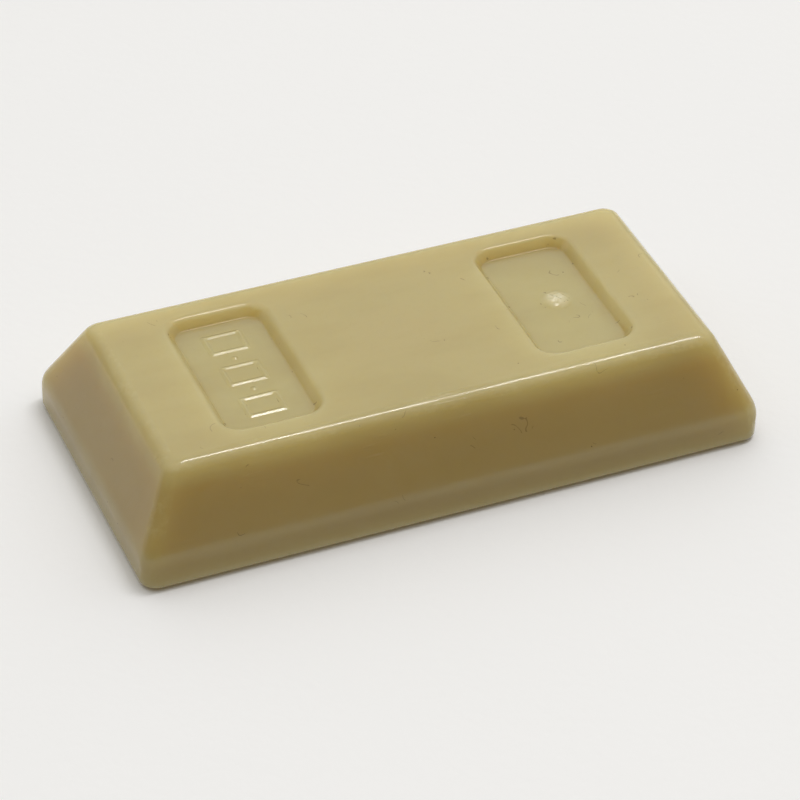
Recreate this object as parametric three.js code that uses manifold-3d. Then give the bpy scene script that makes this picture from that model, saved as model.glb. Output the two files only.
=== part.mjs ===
// Toy-brick ingot: a one-piece moulded bar that presses on to two studs of a building grid.
// Millimetres, +Z up. The origin is the centre of the base and +X runs along the length.
import * as THREE from "three";
import { mergeVertices } from "three/addons/utils/BufferGeometryUtils.js";
import Module from "manifold-3d";

// Stud grid that the bar fits
const STUD_PITCH = 8;
const STUD_DIAMETER = 4.8;
const NEIGHBOUR_GAP = 0.2; // taken off the pitch so that bars side by side don't bind

// Outer form: an upright plinth, then four sloping faces up to a flat top land
const LENGTH = 2 * STUD_PITCH - NEIGHBOUR_GAP;
const WIDTH = STUD_PITCH - NEIGHBOUR_GAP;
const HEIGHT = 2.7;
const PLINTH_HEIGHT = 0.75;
const SIDE_INSET = 1; // how far a long side leans in, at the top land's level
const END_INSET = 0.97; // the same for the two ends
const BASE_CORNER_RADIUS = 0.4; // upright corners, in plan
const LAND_CORNER_RADIUS = 0.3; // corners of the top land, in plan
const BASE_EDGE = 0.07; // rounding of the bottom edge
const TOP_EDGE = 0.28; // from the theoretical top edge to where its rounding ends

// Recesses in the top land, one over each stud
const RECESS_LENGTH = 4.47; // along Y, across the bar
const RECESS_WIDTH = 2.6;
const RECESS_DEPTH = 0.25;
const RECESS_CORNER_RADIUS = 0.55;
const RECESS_DRAFT = 0.2; // how much the floor is smaller than the mouth, on each side

// Raised ornament on the left recess floor: open frames with a round pip between each two
const FRAME_COUNT = 3;
const FRAME_PITCH = 1.25;
const FRAME_WIDTH = 1.04; // along X
const FRAME_LENGTH = 0.8; // along Y
const FRAME_CORNER_RADIUS = 0.06;
const STROKE_WIDTH = 0.15;
const PIP_RADIUS = 0.08;
const ORNAMENT_RISE = 0.033;

// Low mound that the moulding gate left on the right recess floor
const GATE_OFFSET_X = 0.1;
const GATE_RADIUS = 0.35;
const GATE_RISE = 0.12;

// Underside: a pocket over both studs, with a post that stands between them
const STUD_CLEARANCE = 0.05;
const POCKET_LENGTH = STUD_PITCH + STUD_DIAMETER + 2 * STUD_CLEARANCE;
const POCKET_WIDTH = STUD_DIAMETER + 2 * STUD_CLEARANCE;
const POCKET_DEPTH = 1.85;
const POCKET_CORNER_RADIUS = 0.3;
const POST_RADIUS = (STUD_PITCH - STUD_DIAMETER) / 2 - STUD_CLEARANCE;
const POST_RECESS = 0.2; // the post stops this far above the base

// Facets
const CORNER_STEPS = 4;
const EDGE_STEPS = 5;
const ROUND_STEPS = 32;
const OVERLAP = 0.1; // how far joined or cutting solids run past each other

const wasm = await Module();
wasm.setup();

function toSolid(geometry) {
  const bare = new THREE.BufferGeometry();
  bare.setAttribute("position", geometry.getAttribute("position"));
  if (geometry.index) bare.setIndex(geometry.index);
  const merged = mergeVertices(bare, 1e-4);
  const vertProperties = new Float32Array(merged.getAttribute("position").array);
  const triVerts = new Uint32Array(merged.index.array);
  return new wasm.Manifold(new wasm.Mesh({ numProp: 3, vertProperties, triVerts }));
}

function toGeometry(solid) {
  const { vertProperties, triVerts } = solid.getMesh();
  const geometry = new THREE.BufferGeometry();
  geometry.setAttribute("position", new THREE.BufferAttribute(vertProperties, 3));
  geometry.setIndex(new THREE.BufferAttribute(triVerts, 1));
  geometry.computeVertexNormals();
  return geometry;
}

// A rounded rectangle about the origin, as points at height z, counter-clockwise from above.
function roundedSection(halfLength, halfWidth, radius, z) {
  const x = halfLength - radius;
  const y = halfWidth - radius;
  const centres = [[x, -y], [x, y], [-x, y], [-x, -y]];
  const outline = new THREE.Shape();
  centres.forEach(([cx, cy], i) => {
    const start = (i - 1) * (Math.PI / 2);
    outline.absarc(cx, cy, radius, start, start + Math.PI / 2);
  });
  return outline.getPoints(CORNER_STEPS).map((p) => new THREE.Vector3(p.x, p.y, z));
}

// A closed skin over sections of equal point count, given from the lowest to the highest.
function loft(sections) {
  const count = sections[0].length;
  const index = [];
  for (let row = 0; row + 1 < sections.length; row++) {
    for (let i = 0; i < count; i++) {
      const a = row * count + i;
      const b = row * count + ((i + 1) % count);
      index.push(a, b, b + count, a, b + count, a + count);
    }
  }
  const top = (sections.length - 1) * count;
  for (let i = 1; i + 1 < count; i++) {
    index.push(0, i + 1, i, top, top + i, top + i + 1);
  }
  return new THREE.BufferGeometry().setFromPoints(sections.flat()).setIndex(index);
}

// The long side seen end on, as (lean, height): round the base edge, up the plinth, up the
// slope and over on to the top land.
function sideOutline() {
  const slope = new THREE.Vector2(SIDE_INSET, HEIGHT - PLINTH_HEIGHT);
  const edge = new THREE.Vector2(SIDE_INSET, HEIGHT);
  const edgeStart = edge.clone().addScaledVector(slope.normalize(), -TOP_EDGE);
  return new THREE.Path()
    .moveTo(BASE_EDGE, 0)
    .quadraticCurveTo(0, 0, 0, BASE_EDGE)
    .lineTo(0, PLINTH_HEIGHT)
    .lineTo(edgeStart.x, edgeStart.y)
    .quadraticCurveTo(edge.x, edge.y, edge.x + TOP_EDGE, edge.y)
    .getPoints(EDGE_STEPS);
}

function outerForm() {
  const greatestLean = SIDE_INSET + TOP_EDGE;
  const sections = sideOutline().map(({ x: lean, y: z }) => {
    const radius = THREE.MathUtils.mapLinear(
      lean, 0, greatestLean, BASE_CORNER_RADIUS, LAND_CORNER_RADIUS);
    const endLean = (lean * END_INSET) / SIDE_INSET;
    return roundedSection(LENGTH / 2 - endLean, WIDTH / 2 - lean, radius, z);
  });
  return toSolid(loft(sections));
}

// The space of one recess, running on above the top land so that it cuts cleanly.
function recessSpace(centreX) {
  const section = (height) => {
    const grown = (RECESS_DRAFT * height) / RECESS_DEPTH - RECESS_DRAFT;
    return roundedSection(
      RECESS_WIDTH / 2 + grown,
      RECESS_LENGTH / 2 + grown,
      RECESS_CORNER_RADIUS + grown,
      HEIGHT - RECESS_DEPTH + height);
  };
  const space = loft([section(0), section(RECESS_DEPTH + OVERLAP)]);
  return toSolid(space.translate(centreX, 0, 0));
}

function frameSection(inset, z) {
  return roundedSection(
    FRAME_WIDTH / 2 - inset, FRAME_LENGTH / 2 - inset, FRAME_CORNER_RADIUS, z);
}

function openFrame(x, y, floorZ) {
  const block = toSolid(loft([frameSection(0, -OVERLAP), frameSection(0, ORNAMENT_RISE)]));
  const hole = toSolid(loft([
    frameSection(STROKE_WIDTH, -2 * OVERLAP),
    frameSection(STROKE_WIDTH, ORNAMENT_RISE + OVERLAP),
  ]));
  return block.subtract(hole).translate([x, y, floorZ]);
}

function pip(x, y, floorZ) {
  const height = OVERLAP + ORNAMENT_RISE;
  const disc = new THREE.CylinderGeometry(PIP_RADIUS, PIP_RADIUS, height, ROUND_STEPS / 2);
  return toSolid(disc.rotateX(Math.PI / 2).translate(x, y, floorZ - OVERLAP + height / 2));
}

// A row of frames across the bar, with the pips between them.
function ornament(centreX, floorZ) {
  const pieces = [];
  for (let i = 0; i < FRAME_COUNT; i++) {
    const y = (i - (FRAME_COUNT - 1) / 2) * FRAME_PITCH;
    pieces.push(openFrame(centreX, y, floorZ));
    if (i > 0) pieces.push(pip(centreX, y - FRAME_PITCH / 2, floorZ));
  }
  return pieces;
}

function gateMound(centreX, floorZ) {
  const dome = new THREE.SphereGeometry(GATE_RADIUS, ROUND_STEPS, ROUND_STEPS / 2);
  dome.rotateX(Math.PI / 2).scale(1, 1, GATE_RISE / GATE_RADIUS);
  return toSolid(dome.translate(centreX, 0, floorZ));
}

function pocketSpace() {
  const section = (z) =>
    roundedSection(POCKET_LENGTH / 2, POCKET_WIDTH / 2, POCKET_CORNER_RADIUS, z);
  return toSolid(loft([section(-OVERLAP), section(POCKET_DEPTH)]));
}

function studPost() {
  const height = POCKET_DEPTH - POST_RECESS + OVERLAP;
  const post = new THREE.CylinderGeometry(POST_RADIUS, POST_RADIUS, height, ROUND_STEPS);
  return toSolid(post.rotateX(Math.PI / 2).translate(0, 0, POST_RECESS + height / 2));
}

function ingotSolid() {
  const studX = STUD_PITCH / 2;
  const floorZ = HEIGHT - RECESS_DEPTH;
  const cuts = [recessSpace(-studX), recessSpace(studX), pocketSpace()];
  const additions = [
    ...ornament(-studX, floorZ),
    gateMound(studX + GATE_OFFSET_X, floorZ),
    studPost(),
  ];
  const shell = cuts.reduce((body, cut) => body.subtract(cut), outerForm());
  return additions.reduce((body, piece) => body.add(piece), shell);
}

const tanPlastic = new THREE.MeshStandardMaterial({
  color: 0xbcae84,
  roughness: 0.22,
  metalness: 0,
});

const ingotBody = new THREE.Mesh(toGeometry(ingotSolid()), tanPlastic);
ingotBody.name = "ingot_body";

const group = new THREE.Group();
group.add(ingotBody);

export default group;
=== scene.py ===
import math

import bmesh
import bpy
from mathutils import Matrix, Vector
from mathutils.noise import noise


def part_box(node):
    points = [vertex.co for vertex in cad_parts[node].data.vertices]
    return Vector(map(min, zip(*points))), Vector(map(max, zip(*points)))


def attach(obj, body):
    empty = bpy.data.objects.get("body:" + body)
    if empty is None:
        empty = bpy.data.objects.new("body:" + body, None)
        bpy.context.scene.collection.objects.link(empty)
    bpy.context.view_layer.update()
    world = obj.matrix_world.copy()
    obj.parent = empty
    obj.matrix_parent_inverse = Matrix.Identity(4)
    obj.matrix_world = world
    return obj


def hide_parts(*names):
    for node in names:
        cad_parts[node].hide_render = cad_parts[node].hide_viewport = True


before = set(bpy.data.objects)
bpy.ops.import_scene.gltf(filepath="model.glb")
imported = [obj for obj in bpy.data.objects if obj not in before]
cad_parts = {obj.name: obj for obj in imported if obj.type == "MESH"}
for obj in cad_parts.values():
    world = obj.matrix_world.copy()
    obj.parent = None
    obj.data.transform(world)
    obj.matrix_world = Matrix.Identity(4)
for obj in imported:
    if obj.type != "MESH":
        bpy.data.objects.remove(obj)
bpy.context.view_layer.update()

MM = 0.001

# ---------------------------------------------------------------- sizes, from the CAD body
low, high = (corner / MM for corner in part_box("ingot_body"))
HALF_LENGTH = (high.x - low.x) / 2
HALF_WIDTH = (high.y - low.y) / 2
HEIGHT = high.z
PLINTH_HEIGHT = 0.75
SIDE_INSET = 1.0
END_INSET = 0.97
BASE_CORNER_RADIUS = 0.4
LAND_CORNER_RADIUS = 0.3
BASE_EDGE_RADIUS = 0.07
SHOULDER_RADIUS = 0.9
TOP_EDGE_RADIUS = 0.45
TOP_EDGE_REACH = 0.36  # from the theoretical top edge to flat top land

STUD_X = 4.0
RECESS_HALF_WIDTH = 1.3
RECESS_HALF_LENGTH = 2.235
RECESS_DEPTH = 0.25
RECESS_DRAFT = 0.2
RECESS_CORNER_RADIUS = 0.55
LEFT_RIM_RADIUS = 0.22
RIGHT_RIM_RADIUS = 0.14
RECESS_FLOOR_RADIUS = 0.06
FLOOR_Z = HEIGHT - RECESS_DEPTH

FRAME_COUNT = 3
FRAME_PITCH = 1.25
FRAME_HALF_WIDTH = 0.52
FRAME_HALF_LENGTH = 0.4
FRAME_CORNER_RADIUS = 0.06
STROKE_WIDTH = 0.15
STROKE_SLOPE = 23.4  # degrees, of a stroke's two flanks
PIP_RADIUS = 0.1
ORNAMENT_RISE = STROKE_WIDTH / 2 * math.tan(math.radians(STROKE_SLOPE))

GATE_X = STUD_X + 0.1
GATE_RADIUS = 0.45
GATE_RISE = 0.12
GATE_LUMPS = 0.5  # share of its own rise by which the mound is lumpy
COARSE_LUMPS = 4.0  # per mm
FINE_LUMPS = 9.0

POCKET_HALF_LENGTH = 6.45
POCKET_HALF_WIDTH = 2.45
POCKET_DEPTH = 1.85
POCKET_DRAFT = 0.02
POCKET_CORNER_RADIUS = 0.3
POCKET_MOUTH_RADIUS = 0.05
POCKET_CEILING_RADIUS = 0.12
POST_RADIUS = 1.55
POST_RECESS = 0.2
POST_FOOT_RADIUS = 0.08
POST_FOOT_REACH = 0.15  # from the post's side to flat ceiling
POST_END_RADIUS = 0.1
EJECTOR_RADIUS = 0.7
EJECTOR_DEPTH = 0.03
EJECTOR_RIM_RADIUS = 0.02
EJECTOR_FLOOR_RADIUS = 0.01

# ---------------------------------------------------------------- facets
CORNER_STEPS = 12
EDGE_STEPS = 10
STROKE_STEPS = 4
UNDERSIDE_STEPS = 5
EJECTOR_STEPS = 3
CIRCLE_STEPS = 64
MOUND_STEPS = 32
MOUND_RINGS = 20
SUPPORT_SHARE = 0.15  # of its radius: how far beyond a rounding a loop keeps the faces flat


# ---------------------------------------------------------------- outlines
def round_corner(before, corner, after, radius, steps):
    """The arc that rounds one corner of a path, with a support point at each end."""
    incoming = (corner - before).normalized()
    outgoing = (after - corner).normalized()
    cross = incoming.x * outgoing.y - incoming.y * outgoing.x
    turn = math.atan2(cross, incoming.dot(outgoing))
    reach = radius * math.tan(abs(turn) / 2)
    start = corner - incoming * reach
    side = math.copysign(1, turn)
    centre = start + Vector((-incoming.y, incoming.x)) * radius * side
    arc = [
        centre + Matrix.Rotation(turn * i / steps, 2) @ (start - centre)
        for i in range(steps + 1)
    ]
    support = radius * SUPPORT_SHARE
    return [arc[0] - incoming * support, *arc, arc[-1] + outgoing * support]


def rounded_path(corners, steps=EDGE_STEPS):
    """An open path through (across, up, radius) corners, with its inner corners rounded."""
    points = [Vector(c[:2]) for c in corners]
    path = [points[0]]
    for i in range(1, len(points) - 1):
        path += round_corner(points[i - 1], points[i], points[i + 1], corners[i][2], steps)
    return [*path, points[-1]]


def rounded_outline(corners, radius, steps):
    """A closed outline through the corners, all rounded alike."""
    points = [Vector(c) for c in corners]
    outline = []
    for i, corner in enumerate(points):
        after = points[(i + 1) % len(points)]
        outline += round_corner(points[i - 1], corner, after, radius, steps)
    return outline


def rectangle(half_x, half_y, radius, z, centre_x=0.0, centre_y=0.0):
    corners = [(half_x, -half_y), (half_x, half_y), (-half_x, half_y), (-half_x, -half_y)]
    outline = rounded_outline(corners, radius, CORNER_STEPS)
    return [Vector((p.x + centre_x, p.y + centre_y, z)) for p in outline]


def circle(radius, z, centre_x=0.0, centre_y=0.0, steps=CIRCLE_STEPS):
    angles = (math.tau * i / steps for i in range(steps))
    return [
        Vector((centre_x + radius * math.cos(a), centre_y + radius * math.sin(a), z))
        for a in angles
    ]


# ---------------------------------------------------------------- skin
def loft(mesh, outlines):
    """Quads from each outline to the next. Returns the first and the last loop of vertices."""
    loops = [[mesh.verts.new(p) for p in outline] for outline in outlines]
    for one, other in zip(loops, loops[1:]):
        for i in range(len(one)):
            j = (i + 1) % len(one)
            mesh.faces.new((one[i], one[j], other[j], other[i]))
    return loops[0], loops[-1]


def fill(mesh, *loops):
    """Fills the flat region inside the first loop and outside the others."""
    edges = []
    for loop in loops:
        pairs = zip(loop, loop[1:] + loop[:1])
        edges += [mesh.edges.get(pair) or mesh.edges.new(pair) for pair in pairs]
    bmesh.ops.triangle_fill(mesh, use_beauty=True, edges=edges, normal=(0, 0, 1))


def outer_skin(mesh):
    """Round the base edge, up the plinth, up the slope and over on to the top land."""
    profile = rounded_path([
        (2 * BASE_EDGE_RADIUS, 0, 0),
        (0, 0, BASE_EDGE_RADIUS),
        (0, PLINTH_HEIGHT, SHOULDER_RADIUS),
        (SIDE_INSET, HEIGHT, TOP_EDGE_RADIUS),
        (SIDE_INSET + TOP_EDGE_REACH, HEIGHT, 0),
    ])
    outlines = []
    for lean, z in profile:
        share = lean / (SIDE_INSET + TOP_EDGE_REACH)
        radius = BASE_CORNER_RADIUS + share * (LAND_CORNER_RADIUS - BASE_CORNER_RADIUS)
        half_x = HALF_LENGTH - lean * END_INSET / SIDE_INSET
        outlines.append(rectangle(half_x, HALF_WIDTH - lean, radius, z))
    return loft(mesh, outlines)


def recess_skin(mesh, centre_x, rim_radius):
    """From the rim in the top land down to the edge of the floor."""
    profile = rounded_path([
        (-rim_radius, HEIGHT, 0),
        (0, HEIGHT, rim_radius),
        (RECESS_DRAFT, FLOOR_Z, RECESS_FLOOR_RADIUS),
        (RECESS_DRAFT + 2 * RECESS_FLOOR_RADIUS, FLOOR_Z, 0),
    ])
    outlines = [
        rectangle(
            RECESS_HALF_WIDTH - inward,
            RECESS_HALF_LENGTH - inward,
            RECESS_CORNER_RADIUS - inward,
            z,
            centre_x,
        )
        for inward, z in profile
    ]
    return loft(mesh, outlines)


def frame_skin(mesh, centre_x, centre_y):
    """One open frame: a low rounded ridge on the floor. Fills its own middle."""
    soft = STROKE_WIDTH / 4
    profile = rounded_path([
        (-soft, FLOOR_Z, 0),
        (0, FLOOR_Z, soft),
        (STROKE_WIDTH / 2, FLOOR_Z + ORNAMENT_RISE, soft),
        (STROKE_WIDTH, FLOOR_Z, soft),
        (STROKE_WIDTH + soft, FLOOR_Z, 0),
    ], STROKE_STEPS)
    outlines = [
        rectangle(
            FRAME_HALF_WIDTH - inward,
            FRAME_HALF_LENGTH - inward,
            FRAME_CORNER_RADIUS,
            z,
            centre_x,
            centre_y,
        )
        for inward, z in profile
    ]
    outer, inner = loft(mesh, outlines)
    fill(mesh, inner)
    return outer


def mound_skin(mesh, centre_x, centre_y, radius, rise, lumps=0.0):
    """A low mound that runs out softly into the floor, lumpy where lumps isn't 0."""
    outlines = []
    for i in range(MOUND_RINGS, 0, -1):
        share = i / MOUND_RINGS
        z = FLOOR_Z + rise * (1 + math.cos(math.pi * share)) / 2
        outline = circle(radius * share, z, centre_x, centre_y, MOUND_STEPS)
        outlines.append([lumpy(p, lumps) for p in outline])
    outer, inner = loft(mesh, outlines)
    fill(mesh, inner)
    return outer


def lumpy(point, amount):
    """The point raised or lowered by smooth noise, in proportion to its rise and the amount."""
    above = point.z - FLOOR_Z
    coarse, fine = noise(point * COARSE_LUMPS), noise(point * FINE_LUMPS)
    return point + Vector((0, 0, above * amount * (coarse + fine)))


def pocket_skin(mesh):
    """From the base rim up to the ceiling."""
    profile = rounded_path([
        (-2 * POCKET_MOUTH_RADIUS, 0, 0),
        (0, 0, POCKET_MOUTH_RADIUS),
        (POCKET_DRAFT, POCKET_DEPTH, POCKET_CEILING_RADIUS),
        (POCKET_DRAFT + 1.5 * POCKET_CEILING_RADIUS, POCKET_DEPTH, 0),
    ], UNDERSIDE_STEPS)
    outlines = [
        rectangle(
            POCKET_HALF_LENGTH - inward,
            POCKET_HALF_WIDTH - inward,
            POCKET_CORNER_RADIUS - inward,
            z,
        )
        for inward, z in profile
    ]
    return loft(mesh, outlines)


def post_skin(mesh):
    """From the ceiling down round the post's end."""
    profile = rounded_path([
        (POST_RADIUS + POST_FOOT_REACH, POCKET_DEPTH, 0),
        (POST_RADIUS, POCKET_DEPTH, POST_FOOT_RADIUS),
        (POST_RADIUS, POST_RECESS, POST_END_RADIUS),
        (POST_RADIUS - 2 * POST_END_RADIUS, POST_RECESS, 0),
    ], UNDERSIDE_STEPS)
    outer, end = loft(mesh, [circle(radius, z) for radius, z in profile])
    fill(mesh, end)
    return outer


def ejector_mark(mesh, centre_x):
    """The shallow round witness of an ejector pin in the pocket's ceiling."""
    flat = 2 * EJECTOR_DEPTH
    profile = rounded_path([
        (EJECTOR_RADIUS + flat, POCKET_DEPTH, 0),
        (EJECTOR_RADIUS, POCKET_DEPTH, EJECTOR_RIM_RADIUS),
        (EJECTOR_RADIUS, POCKET_DEPTH + EJECTOR_DEPTH, EJECTOR_FLOOR_RADIUS),
        (EJECTOR_RADIUS - flat, POCKET_DEPTH + EJECTOR_DEPTH, 0),
    ], EJECTOR_STEPS)
    outer, inner = loft(mesh, [circle(radius, z, centre_x) for radius, z in profile])
    fill(mesh, inner)
    return outer


def ornament_skin(mesh, centre_x):
    """The row of frames and pips. Returns the loops that they leave open in the floor."""
    feet = []
    for i in range(FRAME_COUNT):
        y = (i - (FRAME_COUNT - 1) / 2) * FRAME_PITCH
        feet.append(frame_skin(mesh, centre_x, y))
        if i > 0:
            pip_y = y - FRAME_PITCH / 2
            feet.append(mound_skin(mesh, centre_x, pip_y, PIP_RADIUS, ORNAMENT_RISE))
    return feet


def ingot_mesh():
    mesh = bmesh.new()
    base_loop, land_loop = outer_skin(mesh)
    left_rim, left_floor = recess_skin(mesh, -STUD_X, LEFT_RIM_RADIUS)
    right_rim, right_floor = recess_skin(mesh, STUD_X, RIGHT_RIM_RADIUS)
    fill(mesh, land_loop, left_rim, right_rim)
    fill(mesh, left_floor, *ornament_skin(mesh, -STUD_X))
    gate = mound_skin(mesh, GATE_X, 0, GATE_RADIUS, GATE_RISE, GATE_LUMPS)
    fill(mesh, right_floor, gate)
    pocket_rim, ceiling = pocket_skin(mesh)
    fill(mesh, base_loop, pocket_rim)
    marks = [ejector_mark(mesh, x) for x in (-STUD_X, STUD_X)]
    fill(mesh, ceiling, post_skin(mesh), *marks)
    bmesh.ops.recalc_face_normals(mesh, faces=mesh.faces)
    mark_bends(mesh)
    return mesh


def mark_bends(mesh):
    """Keeps on each vertex how sharply the skin bends there: ridges above 0, hollows below."""
    bend = mesh.verts.layers.float.new("bend")
    for vertex in mesh.verts:
        angles = [edge.calc_face_angle_signed(0.0) for edge in vertex.link_edges]
        vertex[bend] = math.degrees(max(angles, key=abs))


def shape_object(name, mesh):
    """A smooth-shaded object from a mesh in millimetres."""
    bmesh.ops.scale(mesh, vec=(MM, MM, MM), verts=mesh.verts)
    data = bpy.data.meshes.new(name)
    mesh.to_mesh(data)
    mesh.free()
    for face in data.polygons:
        face.use_smooth = True
    shaped = bpy.data.objects.new(name, data)
    bpy.context.scene.collection.objects.link(shaped)
    return shaped


# ---------------------------------------------------------------- materials
PER_MM = 1 / MM  # turns object coordinates in metres into millimetres
MIX_UNDER, MIX_OVER, MIX_RESULT = 6, 7, 2  # the Mix node's colour sockets

TAN = (0.528, 0.428, 0.196)
STREAK_TAN = (0.495, 0.396, 0.175)
# painted shade for the slopes, which face away from the lights
SLOPE_SHADE_TAN = (0.485, 0.355, 0.13)
# edge wear and painted highlight on the ridges
WORN_AND_HIGHLIGHT_TAN = (0.68, 0.60, 0.36)
SCAR_TAN = (0.8, 0.64, 0.42)
GRIME = (0.13, 0.09, 0.045)
CARD_WHITE = (0.93, 0.915, 0.94)
CLOUD_WHITE = (0.96, 0.945, 0.97)

# How far one colour goes over another at most
GRAIN_SHARE = 0.3
SLOPE_SHADE_SHARE = 0.75
WORN_AND_HIGHLIGHT_SHARE = 0.16
SCAR_SHARE = 0.75
CREASE_SHARE = 0.5
SCUFF_SHARE = 0.4

# Sizes of the plastic's patterns, in features per mm
FLOW_STRETCH = (0.22, 0.6, 0.6)
SWELL_SCALE = 0.8
SMUDGE_SCALE = 1.4
DUST_SCALE = 4.5
GRAIN_SCALE = 7.0
SCRATCH_STRETCH = (0.35, 14.0, 3.0)
SCRATCH_PATCH_SCALE = 0.55
SCUFF_SCALE = 1.7
SCUFF_PATCH_SCALE = 1.9
SCAR_SCALE = 3.0
SPECKS = ((1.25, 0.032), (2.3, 0.02))  # cells per mm, and largest radius in mm

# Relief of the plastic, in mm
SWELL_DEPTH = 0.012
GRAIN_DEPTH = 0.0013
SCRATCH_DEPTH = 0.0015
CROSS_SCRATCH_DEPTH = 0.0012

WORN_AND_HIGHLIGHT_BEND = (5.0, 6.2)  # degrees from facet to facet, where a ridge starts to be rubbed and to take a painted highlight
CREASE_BEND = (-3.2, -4.2)  # the same for a hollow that holds grime
SLOPE_SHADE_TOP = (2.5, 1.95)  # heights in mm over which the painted shade of the slopes fades in
SLOPE_SHADE_FOOT = (0.7, 1.1)
SCAR_REACH = 0.5  # mm from the middle of the gate mound
SCATTER_COLOUR = (1.0, 0.85, 0.6)
SCATTER_DISTANCE = 3.6  # mm, for the colour channel that goes furthest
ROUGHNESS = (0.11, 0.19)
CARD_ROUGHNESS = (0.75, 0.85)


def new_material(name):
    material = bpy.data.materials.new(name)
    material.use_nodes = True
    return material, material.node_tree


def add_node(tree, kind, settings, inputs):
    """A new node. Each input is given as a value, or as the output socket to link to it."""
    node = tree.nodes.new(kind)
    for name, value in settings.items():
        setattr(node, name, value)
    connect(tree, node, inputs)
    return node


def connect(tree, node, inputs):
    for name, value in inputs.items():
        if isinstance(value, bpy.types.NodeSocket):
            tree.links.new(value, node.inputs[name])
        else:
            node.inputs[name].default_value = value


def millimetres(tree, turn=0.0, stretch=(1, 1, 1)):
    """Object coordinates in millimetres, turned about Z and stretched."""
    place = add_node(tree, "ShaderNodeTexCoord", {}, {}).outputs["Object"]
    scale = Vector(stretch) * PER_MM
    inputs = {"Vector": place, "Rotation": (0, 0, turn), "Scale": scale}
    return add_node(tree, "ShaderNodeMapping", {}, inputs).outputs["Vector"]


def noise_texture(tree, place, per_mm, detail=2.0):
    inputs = {"Vector": place, "Scale": per_mm, "Detail": detail}
    return add_node(tree, "ShaderNodeTexNoise", {}, inputs).outputs["Fac"]


def remap(tree, value, span, target=(0.0, 1.0)):
    """The value eased from one span to another, and held at the ends."""
    inputs = {"Value": value}
    inputs["From Min"], inputs["From Max"] = span
    inputs["To Min"], inputs["To Max"] = target
    settings = {"interpolation_type": "SMOOTHSTEP"}
    return add_node(tree, "ShaderNodeMapRange", settings, inputs).outputs["Result"]


def up_to(tree, value, most):
    """The value, from 0 to 1, eased to between 0 and the most."""
    return remap(tree, value, (0.0, 1.0), (0.0, most))


def times(tree, one, other):
    inputs = {0: one, 1: other}
    return add_node(tree, "ShaderNodeMath", {"operation": "MULTIPLY"}, inputs).outputs[0]


def blend(tree, share, under, over):
    """One colour over another, by share."""
    under = under if isinstance(under, bpy.types.NodeSocket) else (*under, 1)
    inputs = {0: share, MIX_UNDER: under, MIX_OVER: (*over, 1)}
    return add_node(tree, "ShaderNodeMix", {"data_type": "RGBA"}, inputs).outputs[MIX_RESULT]


def bump(tree, height, depth, under=None):
    """Relief of the given depth in millimetres, on top of another relief."""
    inputs = {"Height": height, "Distance": depth * MM}
    if under:
        inputs["Normal"] = under
    return add_node(tree, "ShaderNodeBump", {}, inputs).outputs["Normal"]


def hairlines(tree, turn, shift):
    """Sparse straight scratches a few hundredths of a millimetre wide, at one angle.

    The shift changes both noises' scales, so that two sets don't fall together.
    """
    along = millimetres(tree, turn, SCRATCH_STRETCH)
    across = noise_texture(tree, along, 1.0 + shift, 0.0)
    patches = noise_texture(tree, millimetres(tree), SCRATCH_PATCH_SCALE + shift, 1.0)
    line = remap(tree, across, (0.70, 0.76))
    return times(tree, line, remap(tree, patches, (0.52, 0.62)))


def specks(tree, per_mm, radius):
    """Small dark flecks of up to the given radius, in a few cells of a random grid."""
    inputs = {"Vector": millimetres(tree), "Scale": per_mm}
    cells = add_node(tree, "ShaderNodeTexVoronoi", {"feature": "F1"}, inputs)
    reach = radius * per_mm
    spot = remap(tree, cells.outputs["Distance"], (reach, 0.4 * reach))
    split = add_node(tree, "ShaderNodeSeparateColor", {}, {"Color": cells.outputs["Color"]})
    chosen = remap(tree, split.outputs["Red"], (0.72, 0.74))
    return times(tree, spot, chosen)


def scuffs(tree):
    """Short curved dark hairs: a noise's contour line, kept only in small scattered patches."""
    place = millimetres(tree)
    level, half_width = 0.5, 0.006
    inputs = {0: noise_texture(tree, place, SCUFF_SCALE, 1.0), 1: level, 2: half_width}
    line = add_node(tree, "ShaderNodeMath", {"operation": "COMPARE"}, inputs).outputs[0]
    patches = noise_texture(tree, place, SCUFF_PATCH_SCALE, 0.0)
    return times(tree, line, remap(tree, patches, (0.74, 0.78)))


def gate_scar(tree, place):
    """Where the gate was cut off, broken up by noise."""
    centre = (GATE_X, 0, FLOOR_Z)
    settings = {"operation": "DISTANCE"}
    away = add_node(tree, "ShaderNodeVectorMath", settings, {0: place, 1: centre})
    near = remap(tree, away.outputs["Value"], (SCAR_REACH, 0.0))
    ragged = noise_texture(tree, place, SCAR_SCALE)
    return times(tree, near, remap(tree, ragged, (0.1, 0.5)))


def slope_shade(tree, place):
    """1 at the height of the slopes and 0 elsewhere: where painted shade darkens the slopes."""
    height = add_node(tree, "ShaderNodeSeparateXYZ", {}, {"Vector": place}).outputs["Z"]
    return times(tree, remap(tree, height, SLOPE_SHADE_TOP), remap(tree, height, SLOPE_SHADE_FOOT))


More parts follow.
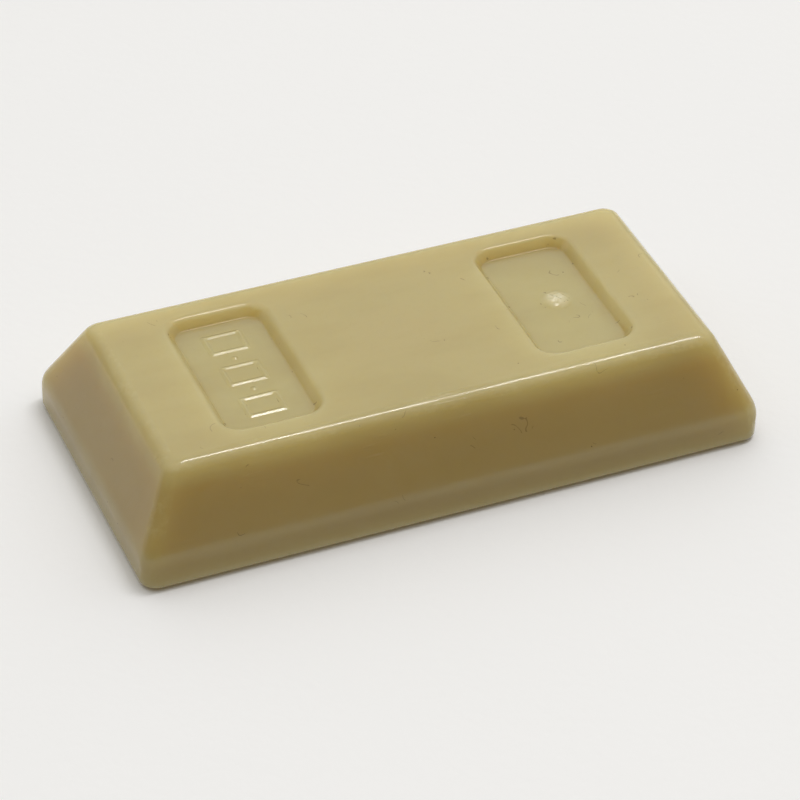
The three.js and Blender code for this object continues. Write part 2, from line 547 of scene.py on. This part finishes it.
def handling_and_highlight(tree, place, colour, grain, smudge):
    """The colour with rubbed ridges lightened as wear and painted highlight, the gate's scar, and
    grime in creases, flecks and scuffs.
    """
    bend = add_node(tree, "ShaderNodeAttribute", {"attribute_name": "bend"}, {}).outputs["Fac"]
    # ridges lighter: partly edge wear, partly a painted highlight
    worn_and_highlight = times(tree, remap(tree, bend, WORN_AND_HIGHLIGHT_BEND), remap(tree, smudge, (0.45, 0.6)))
    worn_and_highlight = times(tree, worn_and_highlight, remap(tree, grain, (0.4, 0.7), (0.0, WORN_AND_HIGHLIGHT_SHARE)))
    dust = noise_texture(tree, place, DUST_SCALE)
    crease = times(tree, remap(tree, bend, CREASE_BEND), remap(tree, dust, (0.64, 0.69)))
    colour = blend(tree, worn_and_highlight, colour, WORN_AND_HIGHLIGHT_TAN)
    colour = blend(tree, up_to(tree, gate_scar(tree, place), SCAR_SHARE), colour, SCAR_TAN)
    colour = blend(tree, up_to(tree, crease, CREASE_SHARE), colour, GRIME)
    for per_mm, radius in SPECKS:
        colour = blend(tree, specks(tree, per_mm, radius), colour, GRIME)
    return blend(tree, up_to(tree, scuffs(tree), SCUFF_SHARE), colour, GRIME)


def tan_plastic():
    """Tan ABS: glossy, slightly see-through, streaked by its flow, lightly handled and with a
    painted highlight on its ridges.

    Its colour is painted darker and browner at the height of the slopes, as painted shade.
    """
    material, tree = new_material("moulded_tan")
    place = millimetres(tree)
    flow = noise_texture(tree, millimetres(tree, 0.2, FLOW_STRETCH), 1.0, 3.0)
    grain = noise_texture(tree, place, GRAIN_SCALE, 3.0)
    swell = noise_texture(tree, place, SWELL_SCALE, 1.0)
    smudge = noise_texture(tree, place, SMUDGE_SCALE, 4.0)

    colour = blend(tree, remap(tree, flow, (0.35, 0.65)), TAN, STREAK_TAN)
    mottle = remap(tree, grain, (0.5, 0.8), (0.0, GRAIN_SHARE))
    colour = blend(tree, mottle, colour, STREAK_TAN)
    # painted shade: the slopes darker and browner, fading out above them and at the plinth
    colour = blend(tree, up_to(tree, slope_shade(tree, place), SLOPE_SHADE_SHARE), colour, SLOPE_SHADE_TAN)
    colour = handling_and_highlight(tree, place, colour, grain, smudge)

    relief = bump(tree, swell, SWELL_DEPTH)
    relief = bump(tree, grain, GRAIN_DEPTH, relief)
    relief = bump(tree, hairlines(tree, 0.9, 0.0), -SCRATCH_DEPTH, relief)
    relief = bump(tree, hairlines(tree, -0.5, 0.07), -CROSS_SCRATCH_DEPTH, relief)

    connect(tree, tree.nodes["Principled BSDF"], {
        "Base Color": colour,
        "Roughness": remap(tree, smudge, (0.3, 0.75), ROUGHNESS),
        "IOR": 1.53,
        "Subsurface Weight": 1.0,
        "Subsurface Radius": SCATTER_COLOUR,
        "Subsurface Scale": SCATTER_DISTANCE * MM,
        "Normal": relief,
    })
    return material


def pale_floor():
    """Matt white card with a faint tooth."""
    material, tree = new_material("pale_floor")
    place = millimetres(tree)
    tooth = noise_texture(tree, place, 4.0, 4.0)
    cloud = noise_texture(tree, place, 0.05, 2.0)
    connect(tree, tree.nodes["Principled BSDF"], {
        "Base Color": blend(tree, cloud, CARD_WHITE, CLOUD_WHITE),
        "Roughness": remap(tree, cloud, (0.3, 0.7), CARD_ROUGHNESS),
        "Normal": bump(tree, tooth, 0.01),
    })
    return material


# ---------------------------------------------------------------- studio
def direction(azimuth, elevation):
    """From the object towards a light or camera: azimuth 0 is the front, 90 the +X end."""
    a, e = math.radians(azimuth), math.radians(elevation)
    return Vector((math.sin(a) * math.cos(e), -math.cos(a) * math.cos(e), math.sin(e)))


def area_light(name, azimuth, elevation, distance, size, watts):
    data = bpy.data.lights.new(name, "AREA")
    data.shape = "RECTANGLE"
    data.size, data.size_y = (side * MM for side in size)
    data.energy = watts
    light = bpy.data.objects.new(name, data)
    towards = direction(azimuth, elevation)
    light.location = towards * distance * MM
    light.rotation_euler = towards.to_track_quat("Z", "Y").to_euler()
    bpy.context.scene.collection.objects.link(light)


SURROUND_COLOUR = (1.0, 0.89, 0.62)
SURROUND_LIGHT = 0.14
SWEEP_COLOUR = (0.965, 1.0, 0.985)
SWEEP_LIGHT = 0.94
SWEEP_DIRECTION = (150, 62)
SWEEP_START = 0.1  # cosine of the angle from that direction at which the sweep begins
BOUNCE_COLOUR = (1.0, 0.88, 0.6)
BOUNCE_LIGHT = 0.14


def sky():
    """An even pale surround, a soft bright sweep behind the object and a warm glow from below."""
    world = bpy.data.worlds.new("sky")
    bpy.context.scene.world = world
    world.use_nodes = True
    tree = world.node_tree
    place = add_node(tree, "ShaderNodeTexCoord", {}, {}).outputs["Generated"]
    inputs = {0: place, 1: direction(*SWEEP_DIRECTION)}
    side = add_node(tree, "ShaderNodeVectorMath", {"operation": "DOT_PRODUCT"}, inputs)
    sweep = remap(tree, side.outputs["Value"], (SWEEP_START, 1.0), (0.0, SWEEP_LIGHT))
    height = add_node(tree, "ShaderNodeSeparateXYZ", {}, {"Vector": place})
    bounce = remap(tree, height.outputs["Z"], (0.0, -1.0), (0.0, BOUNCE_LIGHT))

    surround = tree.nodes["Background"]
    connect(tree, surround, {"Color": (*SURROUND_COLOUR, 1), "Strength": SURROUND_LIGHT})
    light = surround.outputs["Background"]
    for colour, strength in ((SWEEP_COLOUR, sweep), (BOUNCE_COLOUR, bounce)):
        inputs = {"Color": (*colour, 1), "Strength": strength}
        glow = add_node(tree, "ShaderNodeBackground", {}, inputs).outputs["Background"]
        light = add_node(tree, "ShaderNodeAddShader", {}, {0: light, 1: glow}).outputs["Shader"]
    connect(tree, tree.nodes["World Output"], {"Surface": light})


FLOOR_RADIUS = 330
COVE_RADIUS = 75
FLOOR_LEVEL = -0.09  # a little below the base, which leaves a thin contact shadow
FLOOR_STEPS = 96
COVE_STEPS = 16


def studio_floor():
    """A flat floor that curves up into a cove all round.

    It throws no light on the object: the sky's glow from below stands in for that.
    """
    mesh = bmesh.new()
    outlines = []
    for i in range(COVE_STEPS + 1):
        angle = math.pi / 2 * i / COVE_STEPS
        radius = FLOOR_RADIUS + COVE_RADIUS * math.sin(angle)
        z = FLOOR_LEVEL + COVE_RADIUS * (1 - math.cos(angle))
        outlines.append(circle(radius, z, steps=FLOOR_STEPS))
    middle, _ = loft(mesh, outlines)
    fill(mesh, middle)
    bmesh.ops.recalc_face_normals(mesh, faces=mesh.faces)
    floor = shape_object("floor", mesh)
    floor.data.materials.append(pale_floor())
    floor.visible_diffuse = False


def studio():
    sky()
    area_light("key", 93, 71, distance=260, size=(22, 112), watts=0.145)
    area_light("left fill", -118, 20, distance=260, size=(180, 120), watts=0.033)
    area_light("overhead", 0, 85, distance=250, size=(240, 240), watts=0.03)
    studio_floor()


# ---------------------------------------------------------------- camera
CAMERA_AZIMUTH = -23.87
CAMERA_ELEVATION = 38.34
CAMERA_ROLL = 1.785
CAMERA_DISTANCE = 85.2
CAMERA_TARGET_Z = 2.0
CAMERA_RAISE = -1.169
CAMERA_LENS = 159.7
CAMERA_NEAR = 1
CAMERA_FAR = 2000


def camera():
    back = direction(CAMERA_AZIMUTH, CAMERA_ELEVATION)
    right = Vector((0, 0, 1)).cross(back).normalized()
    up = back.cross(right)
    roll = Matrix.Rotation(math.radians(CAMERA_ROLL), 3, back)
    right, up = roll @ right, roll @ up
    data = bpy.data.cameras.new("camera")
    data.lens = CAMERA_LENS
    data.clip_start, data.clip_end = CAMERA_NEAR * MM, CAMERA_FAR * MM
    viewer = bpy.data.objects.new("camera", data)
    place = Vector((0, 0, CAMERA_TARGET_Z)) + up * CAMERA_RAISE + back * CAMERA_DISTANCE
    turn = Matrix((right, up, back)).transposed().to_4x4()
    viewer.matrix_world = Matrix.Translation(place * MM) @ turn
    bpy.context.scene.collection.objects.link(viewer)
    bpy.context.scene.camera = viewer


# ---------------------------------------------------------------- scene
bpy.context.scene.view_settings.view_transform = "Standard"
camera()
studio()
ingot = shape_object("ingot", ingot_mesh())
ingot.data.materials.append(tan_plastic())
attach(ingot, "root")
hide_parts("ingot_body")
